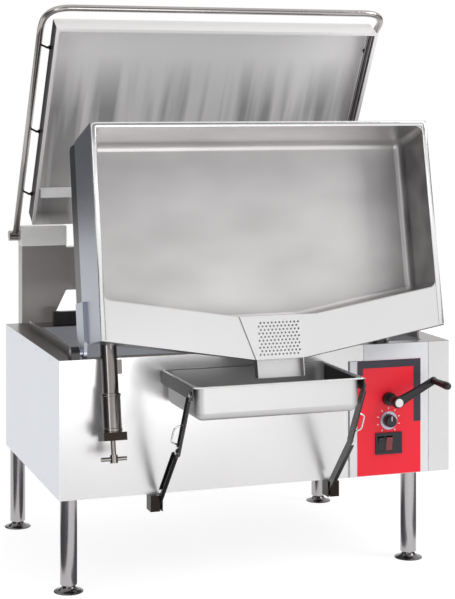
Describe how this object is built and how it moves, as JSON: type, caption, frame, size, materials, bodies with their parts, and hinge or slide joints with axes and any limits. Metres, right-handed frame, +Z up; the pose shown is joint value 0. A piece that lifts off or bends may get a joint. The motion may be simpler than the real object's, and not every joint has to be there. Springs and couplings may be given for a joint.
{
  "type": "tilting bratt pan",
  "caption": "Tilting braising pan on a cabinet with legs, crank-driven tilt, hinged cover, draw-off valve and a receiving pan on folding arms.",
  "frame": {"origin": "on the floor, midway between the centres of the four feet", "axes": "+X to the right as the cook faces it, +Y to the back, +Z up"},
  "size_m": [1.2875, 1.2125, 1.7748],
  "materials": {
    "stainless_satin": "satin",
    "stainless_bright": "bright satin",
    "stainless_dark": "satin",
    "polished_tube": "polished",
    "steel_frame": "satin",
    "black_enamel": "semi-gloss black",
    "grey_enamel": "semi-gloss grey",
    "arm_grey": "semi-gloss dark grey",
    "red_plate": "gloss red",
    "charcoal": "matt charcoal",
    "white_enamel": "gloss white",
    "black_plastic": "matt black",
    "red_lens": "dark red",
    "white_plastic": "gloss white",
    "cream_plastic": "matt",
    "gear_steel": "machined",
    "cast_housing": "painted casting",
    "carbon_plate": "rolled plate",
    "element_sheath": "heat-tinted",
    "insulation_board": "fibre board"
  },
  "bodies": {
    "cabinet": {"leg_tubes": "polished_tube", "flanged_feet": "polished_tube", "leg_sockets": "steel_frame", "base_frame": "steel_frame", "left_panel": "stainless_satin", "front_panel": "stainless_bright", "rear_panel": "stainless_satin", "right_panel": "stainless_satin", "console_front": "white_enamel", "deck": "stainless_satin", "rear_rest_bar": "black_enamel", "control_plate": "red_plate", "control_border": "charcoal", "dial_bezel": "grey_enamel", "thermostat_body": "cream_plastic", "switch_bezel": "black_plastic", "contactor_box": "grey_enamel", "supply_gland": "grey_enamel", "crank_bearing": "black_enamel", "tilt_gearbox": "cast_housing", "trunnion_bearings": "black_enamel", "hinge_towers": "stainless_dark", "rear_beam": "stainless_dark", "torsion_springs": "gear_steel", "carrier_brackets": "arm_grey"},
    "knob": {"thermostat_knob": "black_plastic"},
    "power_rocker": {"power_rocker": "red_lens"},
    "heat_rocker": {"heat_rocker": "black_plastic"},
    "crank": {"crank_shaft": "gear_steel", "crank_arm": "black_enamel", "crank_cap": "white_plastic"},
    "grip": {"crank_grip": "black_plastic"},
    "worm": {"worm_shaft": "gear_steel"},
    "pan": {"gear_sector": "gear_steel", "trunnion_shafts": "black_enamel", "pan_shell": "stainless_satin", "pan_floor_plate": "carbon_plate", "pan_jacket": "stainless_satin", "lip_plate": "stainless_satin", "spout": "stainless_satin", "heater_box": "black_enamel", "heating_elements": "element_sheath", "pan_insulation": "insulation_board", "drawoff_tube": "polished_tube", "drawoff_nut": "polished_tube"},
    "strainer": {"strainer": "stainless_bright"},
    "plunger": {"drain_plunger": "polished_tube"},
    "tee": {"drain_tee": "polished_tube"},
    "cover": {"cover_panel": "stainless_satin", "condensate_guide": "stainless_bright", "cover_handle": "polished_tube", "cover_screws": "stainless_dark", "hinge_shaft": "stainless_dark"},
    "receiving_pan": {"receiving_pan": "stainless_bright"},
    "rail_left": {"rail_left": "black_enamel"},
    "rail_right": {"rail_right": "black_enamel"},
    "upper_arm_left": {"upper_arm_left": "arm_grey"},
    "upper_arm_right": {"upper_arm_right": "arm_grey"},
    "lower_arm_left": {"lower_arm_left": "arm_grey"},
    "lower_arm_right": {"lower_arm_right": "arm_grey"}
  },
  "joints": [
    {"name": "thermostat_turn", "type": "hinge", "parent": "cabinet", "child": "knob", "pos_m": [0.472, -0.43, 0.452], "axis": [0, -1, 0], "range_deg": [-270, 0]},
    {"name": "power_rock", "type": "hinge", "parent": "cabinet", "child": "power_rocker", "pos_m": [0.472, -0.4232, 0.38], "axis": [1, 0, 0], "range_deg": [-16, 0]},
    {"name": "heat_rock", "type": "hinge", "parent": "cabinet", "child": "heat_rocker", "pos_m": [0.445, -0.4232, 0.38], "axis": [1, 0, 0], "range_deg": [-16, 0]},
    {"name": "pan_tilt", "type": "hinge", "parent": "cabinet", "child": "pan", "pos_m": [0, -0.395, 0.712], "axis": [1, 0, 0], "range_deg": [-78.5, 0]},
    {"name": "crank_turn", "type": "hinge", "parent": "cabinet", "child": "crank", "pos_m": [0.472, -0.46, 0.521], "axis": [0, 1, 0], "range_deg": [-5130, 30]},
    {"name": "grip_spin", "type": "hinge", "parent": "crank", "child": "grip", "pos_m": [0.59318, -0.55, 0.58274], "axis": [0, 1, 0], "continuous": true},
    {"name": "worm_spin", "type": "hinge", "parent": "cabinet", "child": "worm", "pos_m": [0.472, -0.25729, 0.6699], "axis": [0, 0.2924, 0.9563], "range_deg": [-30, 5130]},
    {"name": "strainer_lift", "type": "slide", "parent": "pan", "child": "strainer", "axis": [0, -0.9799, 0.1994], "range_m": [0, 0.06]},
    {"name": "drain_push", "type": "slide", "parent": "pan", "child": "plunger", "axis": [0, 0.1994, 0.9799], "range_m": [0, 0.036]},
    {"name": "drain_turn", "type": "hinge", "parent": "plunger", "child": "tee", "pos_m": [-0.45, -0.50631, 0.41319], "axis": [0, -0.1994, -0.9799], "continuous": true},
    {"name": "cover_swing", "type": "hinge", "parent": "cabinet", "child": "cover", "pos_m": [0, 0.44, 0.998], "axis": [1, 0, 0], "range_deg": [-40.5, 15]},
    {"name": "receiving_pan_slide", "type": "slide", "parent": "cabinet", "child": "receiving_pan", "axis": [0, -1, 0], "range_m": [0, 0.12]},
    {"name": "rail_fold_left", "type": "hinge", "parent": "cabinet", "child": "rail_left", "pos_m": [-0.283, -0.4325, 0.6257], "axis": [1, 0, 0], "range_deg": [0, 90]},
    {"name": "upper_arm_fold_left", "type": "hinge", "parent": "rail_left", "child": "upper_arm_left", "pos_m": [-0.283, -0.7225, 0.6257], "axis": [1, 0, 0], "range_deg": [0, 72.5]},
    {"name": "lower_arm_fold_left", "type": "hinge", "parent": "cabinet", "child": "lower_arm_left", "pos_m": [-0.283, -0.4325, 0.256], "axis": [1, 0, 0], "range_deg": [-44.1, 0]},
    {"name": "rail_fold_right", "type": "hinge", "parent": "cabinet", "child": "rail_right", "pos_m": [0.255, -0.4325, 0.6257], "axis": [1, 0, 0], "range_deg": [0, 90]},
    {"name": "upper_arm_fold_right", "type": "hinge", "parent": "rail_right", "child": "upper_arm_right", "pos_m": [0.255, -0.7225, 0.6257], "axis": [1, 0, 0], "range_deg": [0, 72.5]},
    {"name": "lower_arm_fold_right", "type": "hinge", "parent": "cabinet", "child": "lower_arm_right", "pos_m": [0.255, -0.4325, 0.256], "axis": [1, 0, 0], "range_deg": [-44.1, 0]}
  ],
  "couplings": [
    {"joint": "worm_spin", "follows": "pan_tilt", "ratio": -65},
    {"joint": "crank_turn", "follows": "pan_tilt", "ratio": 65},
    {"joint": "upper_arm_fold_left", "follows": "rail_fold_left", "ratio": 0.8},
    {"joint": "upper_arm_fold_right", "follows": "rail_fold_right", "ratio": 0.8}
  ]
}
